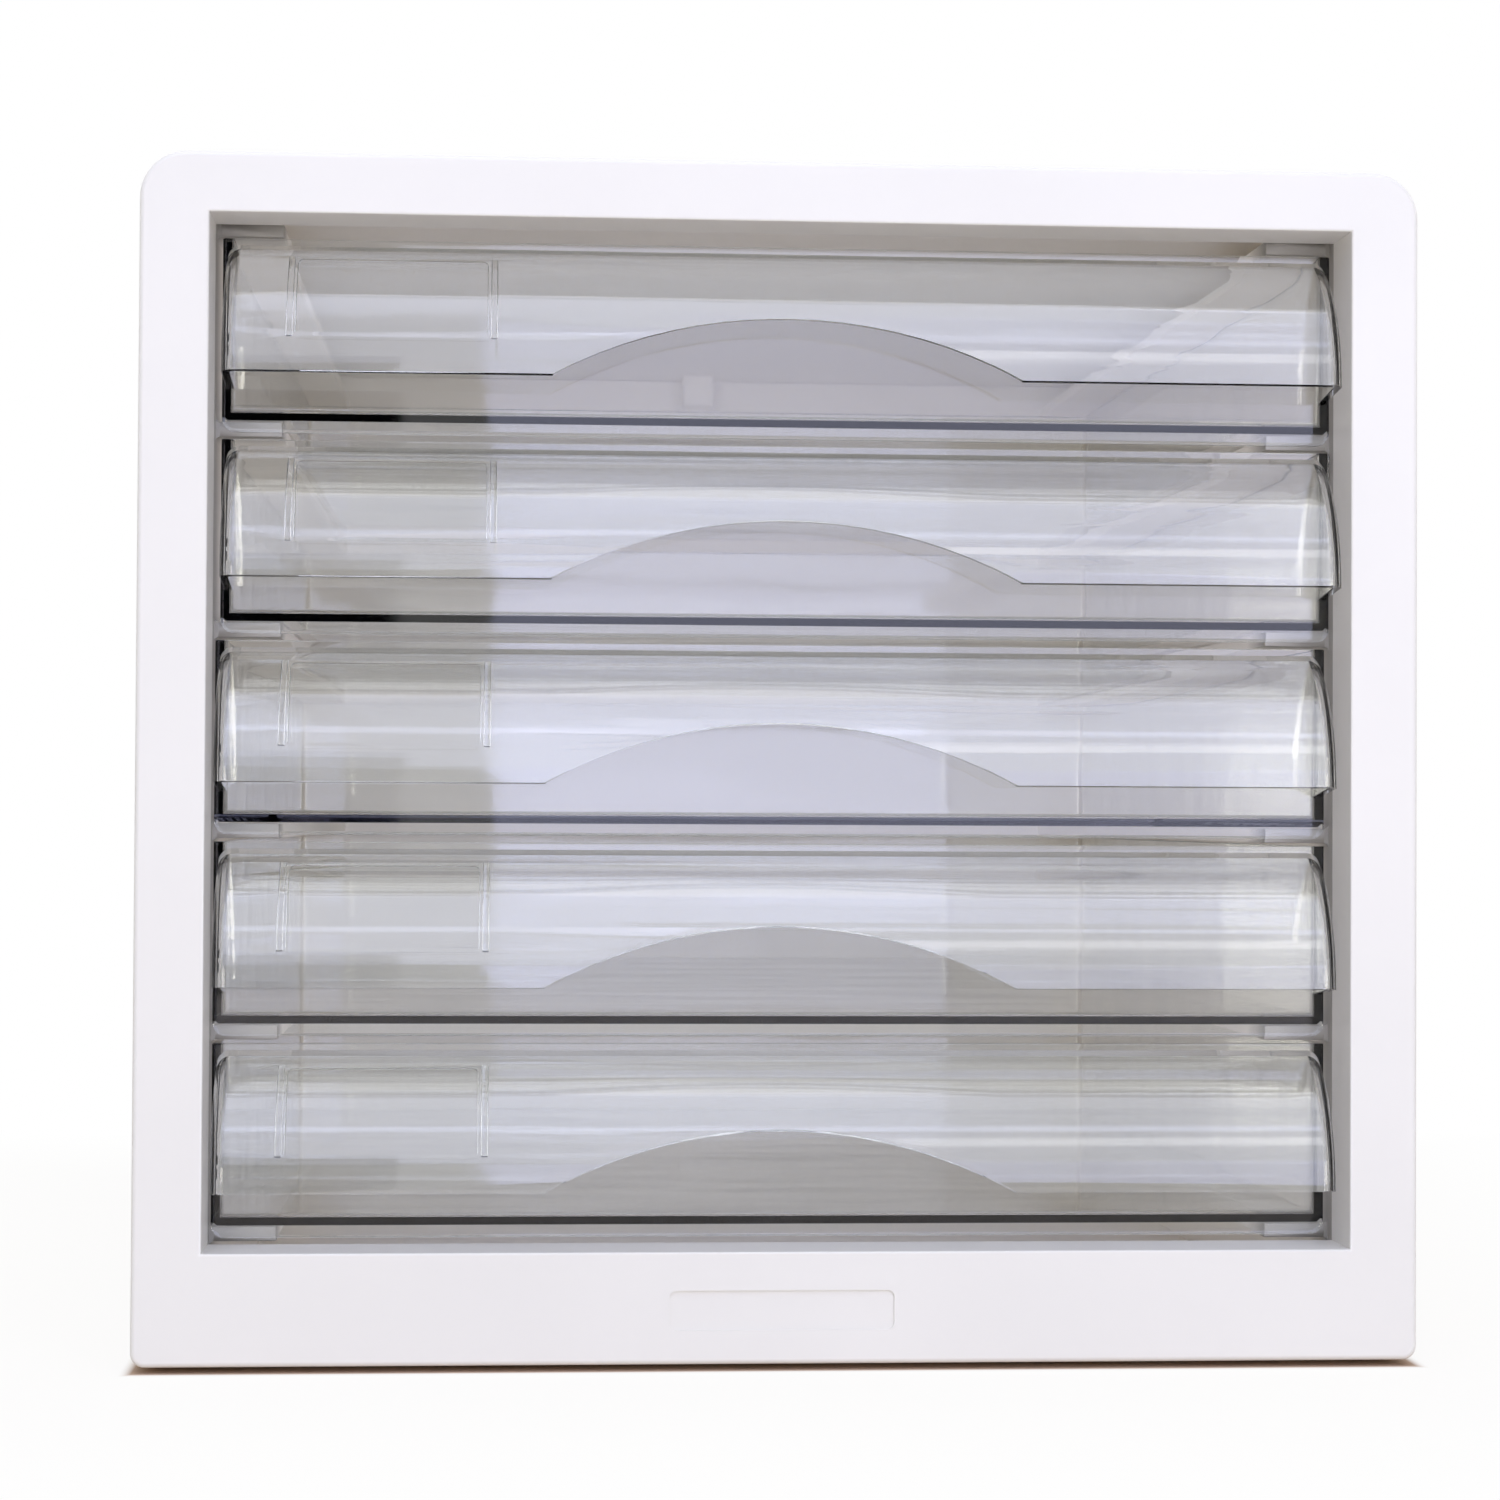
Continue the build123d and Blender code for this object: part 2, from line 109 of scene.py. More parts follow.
class DrawerCaseFinish(bpy.types.PropertyGroup):
    """Colours and edges of the pieces"""

    # The frame, the panels and the racks are one white plastic; the frame is given a darker white and the panels
    # and racks a lighter one, as painted shade on the lit front and painted light in the shaded inside
    frame_colour: FloatVectorProperty(
        name="Frame colour", description="White of the front frame",
        subtype="COLOR", min=0, max=1, default=linear("E3E1DB"))
    panel_colour: FloatVectorProperty(
        name="Panel colour", description="White of the outer panels",
        subtype="COLOR", min=0, max=1, default=linear("F8F5EE"))
    inner_colour: FloatVectorProperty(
        name="Inner colour", description="Warmer white of the runner racks",
        subtype="COLOR", min=0, max=1, default=linear("FBF6EC"))
    # Painted shade on the front ends of the ledges, in the recess between the drawers
    ledge_shade_tone: FloatProperty(
        name="Ledge tone", description="Share of the inner colour that the front ends of the ledges show",
        subtype="FACTOR", min=0, max=1, default=0.35)
    drawer_tint: FloatVectorProperty(
        name="Drawer tint", description="Colour that a thick stretch of the clear drawers takes",
        subtype="COLOR", min=0, max=1, default=linear("A0A6C4"))
    drawer_depth: FloatProperty(
        name="Drawer tint density", description="How fast light takes the tint, for each metre of plastic",
        min=0, default=9)
    rubber_colour: FloatVectorProperty(
        name="Rubber colour", description="Dark rubber of the feet",
        subtype="COLOR", min=0, max=1, default=linear("3A322C"))
    steel_colour: FloatVectorProperty(
        name="Steel colour", description="Zinc plating of the screws",
        subtype="COLOR", min=0, max=1, default=linear("C3C4C6"))
    case_edge: FloatProperty(
        name="Case edge radius", description="Rounding of the edges of the white mouldings",
        subtype="DISTANCE", unit="LENGTH", min=0, default=0.25 * MM)
    drawer_edge: FloatProperty(
        name="Drawer edge radius", description="Rounding of the edges of the clear mouldings",
        subtype="DISTANCE", unit="LENGTH", min=0, default=0.2 * MM)
    drawer_front_edge: FloatProperty(
        name="Drawer front radius", description="Rounding of the sides and the bottom of the drawer fronts",
        subtype="DISTANCE", unit="LENGTH", min=0, default=0.8 * MM)


class DrawerCaseStage(bpy.types.PropertyGroup):
    """Camera and light"""

    camera_place: FloatVectorProperty(
        name="Camera place", description="Where the lens stands",
        subtype="TRANSLATION", unit="LENGTH", default=(-60.92 * MM, -899.26 * MM, 117.86 * MM))
    camera_yaw: FloatProperty(
        name="Camera yaw", description="Turn of the camera to the right",
        subtype="ANGLE", unit="ROTATION", default=radians(4.2048))
    camera_pitch: FloatProperty(
        name="Camera pitch", description="Tilt of the camera upwards",
        subtype="ANGLE", unit="ROTATION", default=radians(1.1087))
    camera_roll: FloatProperty(
        name="Camera roll", description="Lean of the camera about its own axis",
        subtype="ANGLE", unit="ROTATION", default=radians(0.298))
    lens: FloatProperty(
        name="Lens", description="Focal length in millimetres on a sensor 36 mm wide",
        subtype="DISTANCE_CAMERA", unit="CAMERA", default=81.90)
    key_brightness: FloatProperty(
        name="Key brightness", description="Brightness of the low warm softboxes that light the inside",
        min=0, default=5.5)
    window_brightness: FloatProperty(
        name="Window brightness", description="Brightness of the faces of the wide softboxes before the case",
        min=0, default=1.35)
    low_brightness: FloatProperty(
        name="Low window brightness", description="Brightness of the low softbox that the drawer fronts mirror",
        min=0, default=1.2)
    fill_brightness: FloatProperty(
        name="Fill brightness", description="Brightness of the softboxes beside and behind the case",
        min=0, default=0.7)
    top_brightness: FloatProperty(
        name="Top brightness", description="Brightness of the softbox above the case",
        min=0, default=1.6)
    ambient: FloatProperty(
        name="Ambient", description="Even light from all round", min=0, default=0.15)
    strip_brightness: FloatProperty(
        name="Strip brightness", description="Brightness that the strip lamp adds to the mirrored softbox",
        min=0, default=1.6)
    floor_glow: FloatProperty(
        name="Floor glow", description="Share of plain white in the floor beside the case",
        subtype="FACTOR", min=0, max=1, default=0.9)


# Material tools

def add(tree, kind, inputs=None, **settings):
    """Adds a shader node with its settings; each named input takes a value or another node's output."""
    node = tree.nodes.new("ShaderNode" + kind)
    for key, value in settings.items():
        setattr(node, key, value)
    for name, value in (inputs or {}).items():
        if isinstance(value, bpy.types.NodeSocket):
            tree.links.new(value, node.inputs[name])
        else:
            node.inputs[name].default_value = value
    return node


def new_material(name):
    """An empty node material with its output, and its tree."""
    material = bpy.data.materials.new(name)
    material.use_nodes = True
    material.node_tree.nodes.clear()
    return material, material.node_tree, add(material.node_tree, "OutputMaterial")


def moulded_white_polystyrene(name, colour, front_shade_tone=1.0):
    """Opaque polystyrene from a finely eroded mould: satin white, with faint flow clouds and a fine grain.

    A front tone below one paints shade: the plastic gets darker towards the front, as shade falls on the front ends
    of the ledges in their recess.
    """
    material, tree, output = new_material(name)
    place = add(tree, "TexCoord").outputs["Object"]
    # Flow of the melt leaves clouds some centimetres wide, one or two hundredths lighter or darker
    clouds = add(tree, "TexNoise", {"Vector": place, "Scale": per(45), "Detail": 2.0, "Roughness": 0.4})
    shade = add(tree, "ValToRGB", {"Fac": clouds.outputs["Fac"]})
    shade.color_ramp.elements[0].position = 0.3
    shade.color_ramp.elements[1].position = 0.7
    shade.color_ramp.elements[0].color = (*[0.975 * c for c in colour], 1)
    shade.color_ramp.elements[1].color = (*colour, 1)
    # Painted shade: the colour darkens towards the front, where the ledge ends sit in shade
    depth = add(tree, "SeparateXYZ", {"Vector": place})
    painted_front_shade = add(tree, "MapRange", {
        "Value": depth.outputs["Y"], "From Min": LEDGE_FRONT, "From Max": LEDGE_CLEAR,
        "To Min": front_shade_tone, "To Max": 1.0})
    tone = add(tree, "VectorMath", {0: shade.outputs["Color"], 1: painted_front_shade.outputs["Result"]}, operation="MULTIPLY")
    # Handling polishes the satin in patches
    rub = add(tree, "TexNoise", {"Vector": place, "Scale": per(12), "Detail": 3.0})
    gloss = add(tree, "MapRange", {"Value": rub.outputs["Fac"], "To Min": 0.36, "To Max": 0.46})
    # The eroded grain is about 0.1 mm on the real mould; it is drawn at 0.5 mm so that it shows
    grain = add(tree, "TexNoise", {"Vector": place, "Scale": per(0.5), "Detail": 2.0, "Roughness": 0.6})
    bump = add(tree, "Bump", {"Height": grain.outputs["Fac"], "Strength": 0.12, "Distance": 0.03 * MM})
    plastic = add(tree, "BsdfPrincipled", {
        "Base Color": tone.outputs["Vector"], "Roughness": gloss.outputs["Result"], "IOR": 1.52,
        "Normal": bump.outputs["Normal"]})
    tree.links.new(plastic.outputs["BSDF"], output.inputs["Surface"])
    return material


def clear_polystyrene(name, tint, density):
    """Clear crystal polystyrene from a polished mould: glassy, slightly wavy, smoky where light runs along it."""
    material, tree, output = new_material(name)
    place = add(tree, "TexCoord").outputs["Object"]
    # Handling haze lies in soft patches
    haze = add(tree, "TexNoise", {"Vector": place, "Scale": per(30), "Detail": 4.0, "Roughness": 0.55})
    gloss = add(tree, "MapRange", {
        "Value": haze.outputs["Fac"], "From Min": 0.35, "From Max": 0.75, "To Min": 0.015, "To Max": 0.05})
    # Flow and sink ripples stretch along the length of the front
    stretch = add(tree, "Mapping", {"Vector": place, "Scale": (0.35, 1.0, 1.0)})
    ripple = add(tree, "TexNoise", {"Vector": stretch.outputs["Vector"], "Scale": per(22), "Detail": 1.0})
    bump = add(tree, "Bump", {"Height": ripple.outputs["Fac"], "Strength": 0.25, "Distance": 0.25 * MM})
    plastic = add(tree, "BsdfPrincipled", {
        "Base Color": (*linear("FAFBFA"), 1), "Roughness": gloss.outputs["Result"], "IOR": 1.59,
        "Transmission Weight": 1.0, "Normal": bump.outputs["Normal"]})
    depth = add(tree, "VolumeAbsorption", {"Color": (*tint, 1), "Density": density})
    # Light from the lamps and the white walls goes straight through, less what each face turns back
    path = add(tree, "LightPath")
    falling = add(tree, "Math", {0: path.outputs["Is Shadow Ray"], 1: path.outputs["Is Diffuse Ray"]},
                  operation="MAXIMUM")
    open_way = add(tree, "BsdfTransparent", {"Color": (0.99, 0.99, 0.99, 1)})
    mix = add(tree, "MixShader", {"Fac": falling.outputs["Value"]})
    tree.links.new(plastic.outputs["BSDF"], mix.inputs[1])
    tree.links.new(open_way.outputs["BSDF"], mix.inputs[2])
    tree.links.new(mix.outputs["Shader"], output.inputs["Surface"])
    tree.links.new(depth.outputs["Volume"], output.inputs["Volume"])
    return material


def dark_rubber(name, colour):
    """Moulded rubber: matt, dark, with a fine pebble and some grey dust."""
    material, tree, output = new_material(name)
    place = add(tree, "TexCoord").outputs["Object"]
    dust = add(tree, "TexNoise", {"Vector": place, "Scale": per(4), "Detail": 4.0})
    shade = add(tree, "ValToRGB", {"Fac": dust.outputs["Fac"]})
    shade.color_ramp.elements[0].position = 0.4
    shade.color_ramp.elements[1].position = 0.8
    shade.color_ramp.elements[0].color = (*colour, 1)
    shade.color_ramp.elements[1].color = (*[1.8 * c for c in colour], 1)
    gloss = add(tree, "MapRange", {"Value": dust.outputs["Fac"], "To Min": 0.7, "To Max": 0.9})
    pebble = add(tree, "TexVoronoi", {"Vector": place, "Scale": per(0.4)})
    bump = add(tree, "Bump", {"Height": pebble.outputs["Distance"], "Strength": 0.3, "Distance": 0.05 * MM})
    rubber = add(tree, "BsdfPrincipled", {
        "Base Color": shade.outputs["Color"], "Roughness": gloss.outputs["Result"], "IOR": 1.52,
        "Normal": bump.outputs["Normal"]})
    tree.links.new(rubber.outputs["BSDF"], output.inputs["Surface"])
    return material


def zinc_plated_steel(name, colour):
    """Bright zinc plating over turned steel: a soft metal shine with faint blotches."""
    material, tree, output = new_material(name)
    place = add(tree, "TexCoord").outputs["Object"]
    blotch = add(tree, "TexNoise", {"Vector": place, "Scale": per(1.5), "Detail": 4.0})
    shade = add(tree, "ValToRGB", {"Fac": blotch.outputs["Fac"]})
    shade.color_ramp.elements[0].position = 0.35
    shade.color_ramp.elements[1].position = 0.7
    shade.color_ramp.elements[0].color = (*[0.8 * c for c in colour], 1)
    shade.color_ramp.elements[1].color = (*colour, 1)
    gloss = add(tree, "MapRange", {"Value": blotch.outputs["Fac"], "To Min": 0.28, "To Max": 0.42})
    fine = add(tree, "TexNoise", {"Vector": place, "Scale": per(0.2), "Detail": 2.0})
    bump = add(tree, "Bump", {"Height": fine.outputs["Fac"], "Strength": 0.15, "Distance": 0.02 * MM})
    steel = add(tree, "BsdfPrincipled", {
        "Base Color": shade.outputs["Color"], "Metallic": 1.0, "Roughness": gloss.outputs["Result"],
        "Normal": bump.outputs["Normal"]})
    tree.links.new(steel.outputs["BSDF"], output.inputs["Surface"])
    return material


# Mesh tools

def joined_copy(node):
    """A closed mesh of a solid: its loose triangles joined, its flat faces made whole."""
    mesh = bmesh.new()
    mesh.from_mesh(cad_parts[node].data)
    bmesh.ops.remove_doubles(mesh, verts=mesh.verts, dist=JOIN_DISTANCE)
    bmesh.ops.dissolve_limit(mesh, angle_limit=FLAT_ANGLE, verts=mesh.verts, edges=mesh.edges)
    return mesh


def takes_rounding(edge, radius):
    """True for an outer edge whose two faces leave room for this radius."""
    if not edge.is_manifold or not edge.is_convex or edge.calc_face_angle() < SHARP_ANGLE:
        return False
    length = edge.calc_length()
    beside = [other for vert in edge.verts for other in vert.link_edges]
    if length < HOLE_EDGE and not all(other.is_convex for other in beside):
        return False
    for loop in edge.link_loops:
        if loop.face.calc_area() < ROUND_ROOM * radius * length:
            return False
        if min(loop.calc_angle(), loop.link_loop_next.calc_angle()) < CUSP_ANGLE:
            return False
    return True


def round_edges(mesh, edges, radius, segments):
    """Rounds outer edges of a moulding, as its mould does."""
    bmesh.ops.bevel(
        mesh, geom=edges, offset=radius, offset_type="OFFSET", affect="EDGES", segments=segments,
        profile=0.5, material=-1, clamp_overlap=False, loop_slide=True)
    bmesh.ops.dissolve_degenerate(mesh, edges=mesh.edges, dist=JOIN_DISTANCE)


def round_all_edges(mesh, radius):
    """Rounds every outer edge that has room."""
    round_edges(mesh, [edge for edge in mesh.edges if takes_rounding(edge, radius)], radius, ROUND_SEGMENTS)


def spun(profile, steps, axis_point, axis):
    """A closed round piece: a line of (radius, height) points turned about an axis through a point."""
    axis = Vector(axis)
    across = axis.orthogonal().normalized()
    mesh = bmesh.new()
    line = [mesh.verts.new(Vector(axis_point) + across * radius + axis * height) for radius, height in profile]
    edges = [mesh.edges.new(pair) for pair in zip(line, line[1:])]
    bmesh.ops.spin(
        mesh, geom=line + edges, cent=axis_point, axis=axis, angle=2 * pi, steps=steps, use_merge=True)
    bmesh.ops.remove_doubles(mesh, verts=mesh.verts, dist=JOIN_DISTANCE)
    bmesh.ops.recalc_face_normals(mesh, faces=mesh.faces)
    return mesh


def mesh_centre(mesh):
    """Mean of the vertices of a mesh."""
    return sum((vert.co for vert in mesh.verts), Vector()) / len(mesh.verts)


def solids_of(node):
    """Lowest and highest corner of each separate solid in a node."""
    mesh = joined_copy(node)
    left = set(mesh.verts)
    corners = []
    while left:
        reached = [left.pop()]
        for vert in reached:
            beside = {edge.other_vert(vert) for edge in vert.link_edges} & left
            left -= beside
            reached.extend(beside)
        low = Vector([min(vert.co[axis] for vert in reached) for axis in range(3)])
        high = Vector([max(vert.co[axis] for vert in reached) for axis in range(3)])
        corners.append((low, high))
    mesh.free()
    return sorted(corners, key=lambda pair: tuple(pair[0]))


def smooth_fans(vert):
    """Groups of faces round a vertex that meet at soft edges."""
    left = set(vert.link_faces)
    while left:
        fan = [left.pop()]
        for face in fan:
            for edge in face.edges:
                if vert in edge.verts and edge.smooth:
                    beside = set(edge.link_faces) & left
                    left -= beside
                    fan.extend(beside)
        yield fan


def corner_normals(mesh):
    """Shading normals by face area, so that a wide flat face stays flat up to its rounded edges."""
    for edge in mesh.edges:
        edge.smooth = edge.is_manifold and edge.calc_face_angle() < SMOOTH_ANGLE
    normals = {}
    for vert in mesh.verts:
        for fan in smooth_fans(vert):
            mean = sum((face.normal * face.calc_area() for face in fan), Vector())
            for face in fan:
                normals[face, vert] = mean.normalized()
    return [normals[face, loop.vert] for face in mesh.faces for loop in face.loops]


def piece_from(mesh, name, material, body, node):
    """Turns a finished mesh into a piece that rides on a body and stands for a node."""
    data = bpy.data.meshes.new(name)
    mesh.normal_update()
    normals = corner_normals(mesh)
    mesh.to_mesh(data)
    mesh.free()
    data.polygons.foreach_set("use_smooth", [True] * len(data.polygons))
    data.normals_split_custom_set(normals)
    data.materials.append(material)
    piece = bpy.data.objects.new(name, data)
    bpy.context.scene.collection.objects.link(piece)
    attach(piece, body)
    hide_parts(node)
    return piece


def moulding(node, material, body, radius):
    """A moulded piece: the solid with its outer edges rounded."""
    mesh = joined_copy(node)
    round_all_edges(mesh, radius)
    return piece_from(mesh, node + "_moulding", material, body, node)


def drawer_moulding(node, material, radius, front_radius):
    """A drawer: its front wall has a rounder rim than the rest, down both sides and along the skirt."""
    mesh = joined_copy(node)
    front = max((face for face in mesh.faces if face.normal.y < -0.99), key=lambda face: face.calc_area())
    place = front.verts[0].co.y
    top = max(vert.co.z for vert in front.verts)
    rim = []
    for edge in mesh.edges:
        in_front = all(abs(vert.co.y - place) < JOIN_DISTANCE for vert in edge.verts)
        below = min(vert.co.z for vert in edge.verts) < top - front_radius
        if in_front and below and edge.is_convex and edge.calc_face_angle() > SHARP_ANGLE:
            rim.append(edge)
    round_edges(mesh, rim, front_radius, 2 * ROUND_SEGMENTS)
    round_all_edges(mesh, radius)
    return piece_from(mesh, node + "_moulding", material, node, node)


# Operators, one for each group of like pieces

class DRAWERCASE_OT_front_frame(bpy.types.Operator):
    """Make the white front frame with its deep reveal and bare name plate"""
    bl_idname = "drawer_case.front_frame"
    bl_label = "Front Frame"

    def execute(self, context):
        finish = context.scene.drawer_case_finish
        # The frame's white is drawn darker than the panels' as painted shade on the lit front
        white = moulded_white_polystyrene("frame white polystyrene with painted shade", tuple(finish.frame_colour))
        moulding("front_frame", white, CASE_BODY, finish.case_edge)
        return {"FINISHED"}


class DRAWERCASE_OT_outer_panels(bpy.types.Operator):
    """Make the top, side, base and back panels"""
    bl_idname = "drawer_case.outer_panels"
    bl_label = "Outer Panels"

    def execute(self, context):
        finish = context.scene.drawer_case_finish
        # The panels' white is drawn lighter than the frame's as painted light in the shaded inside
        white = moulded_white_polystyrene("panel white polystyrene with painted light", tuple(finish.panel_colour))
        for node in OUTER_PANELS:
            moulding(node, white, CASE_BODY, finish.case_edge)
        return {"FINISHED"}


class DRAWERCASE_OT_runner_racks(bpy.types.Operator):
    """Make the inner walls with the ledges that the drawers slide on"""
    bl_idname = "drawer_case.runner_racks"
    bl_label = "Runner Racks"

    def execute(self, context):
        # The racks' white is drawn lighter and warmer than the frame's as painted light in the shaded inside
        finish = context.scene.drawer_case_finish
        # Their material paints shade on the front ends of the ledges
        rack_white_painted = moulded_white_polystyrene(
            "rack white polystyrene with painted light and shade", tuple(finish.inner_colour), finish.ledge_shade_tone)
        for node in RUNNER_RACKS:
            moulding(node, rack_white_painted, CASE_BODY, finish.case_edge)
        return {"FINISHED"}


class DRAWERCASE_OT_drawers(bpy.types.Operator):
    """Make the clear drawers, each on its own body"""
    bl_idname = "drawer_case.drawers"
    bl_label = "Clear Drawers"

    def execute(self, context):
        finish = context.scene.drawer_case_finish
        clear = clear_polystyrene("clear polystyrene", tuple(finish.drawer_tint), finish.drawer_depth)
        for node in DRAWERS:
            drawer_moulding(node, clear, finish.drawer_edge, finish.drawer_front_edge)
        return {"FINISHED"}


class DRAWERCASE_OT_feet(bpy.types.Operator):
    """Make the round rubber feet"""
    bl_idname = "drawer_case.feet"
    bl_label = "Rubber Feet"

    hollow = 0.3 * MM
    edge = 0.6 * MM
    turn_steps = 48

    def execute(self, context):
        finish = context.scene.drawer_case_finish
        rubber = dark_rubber("dark moulded rubber", tuple(finish.rubber_colour))
        for node in FEET:
            low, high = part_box(node)
            radius = (high.x - low.x) / 2
            height = high.z - low.z
            centre = ((low.x + high.x) / 2, (low.y + high.y) / 2, low.z)
            hollow, edge = self.hollow, self.edge
            profile = [
                (0, hollow), (radius - 3 * edge, hollow), (radius - 2.5 * edge, 0), (radius - edge, 0),
                (radius - 0.3 * edge, 0.3 * edge), (radius, edge), (radius, height), (0, height)]
            mesh = spun(profile, self.turn_steps, centre, (0, 0, 1))
            piece_from(mesh, node + "_pad", rubber, CASE_BODY, node)
        return {"FINISHED"}


class DRAWERCASE_OT_screws(bpy.types.Operator):
    """Make the cross-head screws of the back and the base"""
    bl_idname = "drawer_case.screws"
    bl_label = "Screws"

    head_height = 2.0 * MM
    shank_radius = 1.45 * MM
    tip_length = 1.5 * MM
    turn_steps = 40
    # Cross recess, as shares of the head's radius and height
    cross_reach = 0.5
    cross_half_width = 0.11
    cross_depth = 0.6
    cross_taper = 0.75

    def screw(self, low, high, out):
        """One screw from the corners of its solid; out points away from the panel."""
        axis = max(range(3), key=lambda n: abs(out[n]))
        across = (axis + 1) % 3
        radius = (high[across] - low[across]) / 2
        middle = (low + high) / 2
        top = middle.copy()
        top[axis] = high[axis] if out[axis] > 0 else low[axis]
        length = high[axis] - low[axis]
        head = self.head_height
        seat = top - Vector(out) * head
        profile = [
            (0, head - length), (0.2 * radius, head - length), (self.shank_radius, self.tip_length + head - length),
            (self.shank_radius, 0), (radius, 0), (radius, 0.35 * head), (0.93 * radius, 0.65 * head),
            (0.78 * radius, 0.88 * head), (0.6 * radius, head), (0, head)]
        mesh = spun(profile, self.turn_steps, seat, out)
        return mesh, top, axis, radius

    def cross_recess(self, mesh, top, axis, radius):
        """Sinks a cross into the flat top of the head."""
        out_axis = Vector([float(n == axis) for n in range(3)])
        sides = [Vector([float(n == turn) for n in range(3)]) for turn in range(3) if turn != axis]
        reach = self.cross_reach * radius
        half = self.cross_half_width * radius

        def faces_on_top():
            return [face for face in mesh.faces
                    if abs((face.calc_center_median() - top).dot(out_axis)) < JOIN_DISTANCE]

        for side in sides:
            for offset in (-reach, -half, half, reach):
                flat = faces_on_top()
                edges = dict.fromkeys(edge for face in flat for edge in face.edges)
                verts = dict.fromkeys(vert for face in flat for vert in face.verts)
                bmesh.ops.bisect_plane(
                    mesh, geom=[*flat, *edges, *verts], plane_co=top + side * offset, plane_no=side)
        cross = []
        for face in faces_on_top():
            spot = face.calc_center_median() - top
            reaches = sorted(abs(spot.dot(side)) for side in sides)
            if reaches[0] < half and reaches[1] < reach:
                cross.append(face)
        sunk = bmesh.ops.extrude_face_region(mesh, geom=cross)
        verts = [item for item in sunk["geom"] if isinstance(item, bmesh.types.BMVert)]
        inward = (mesh_centre(mesh) - top).normalized()
        bmesh.ops.delete(mesh, geom=cross, context="FACES")
        bmesh.ops.translate(mesh, verts=verts, vec=inward * self.cross_depth * self.head_height)
        shrink = Matrix.Translation(top) @ Matrix.Scale(self.cross_taper, 4) @ Matrix.Translation(-top)
        for vert in verts:
            depth = (vert.co - top).dot(inward)
            vert.co = shrink @ (vert.co - inward * depth) + inward * depth

    def execute(self, context):
        finish = context.scene.drawer_case_finish
        steel = zinc_plated_steel("zinc plated steel", tuple(finish.steel_colour))
        for node, out in (("back_panel_screws", (0, 1, 0)), ("base_panel_screws", (0, 0, -1))):
            group = bmesh.new()
            for low, high in solids_of(node):
                mesh, top, axis, radius = self.screw(low, high, out)
                self.cross_recess(mesh, top, axis, radius)
                single = bpy.data.meshes.new("screw")
                mesh.to_mesh(single)
                mesh.free()
                group.from_mesh(single)
                bpy.data.meshes.remove(single)
            bmesh.ops.recalc_face_normals(group, faces=group.faces)
            piece_from(group, node + "_steel", steel, CASE_BODY, node)
        return {"FINISHED"}


# Stage

def softbox(name, target, azimuth, elevation, distance, size, brightness, colour=(1, 1, 1)):
    """A rectangular area lamp that faces the target; azimuth 0 stands before the case and turns to the right."""
    place = target + distance * Vector((
        sin(azimuth) * cos(elevation), -cos(azimuth) * cos(elevation), sin(elevation)))
    lamp = bpy.data.lights.new(name, "AREA")
    lamp.shape = "RECTANGLE"
    lamp.size, lamp.size_y = size
    lamp.energy = brightness * pi * size[0] * size[1]
    lamp.color = colour
    holder = bpy.data.objects.new(name, lamp)
    holder.visible_camera = False
    holder.matrix_world = (
        Matrix.Translation(place) @ (target - place).to_track_quat("-Z", "Y").to_matrix().to_4x4())
    bpy.context.scene.collection.objects.link(holder)
    return holder


def seen_directly(tree):
    """One where the camera looks, also through clear walls, zero for light that falls on things."""
    path = add(tree, "LightPath")
    clear = add(tree, "Math", {0: path.outputs["Is Camera Ray"], 1: path.outputs["Is Transmission Ray"]},
                operation="MAXIMUM")
    return clear.outputs["Value"]


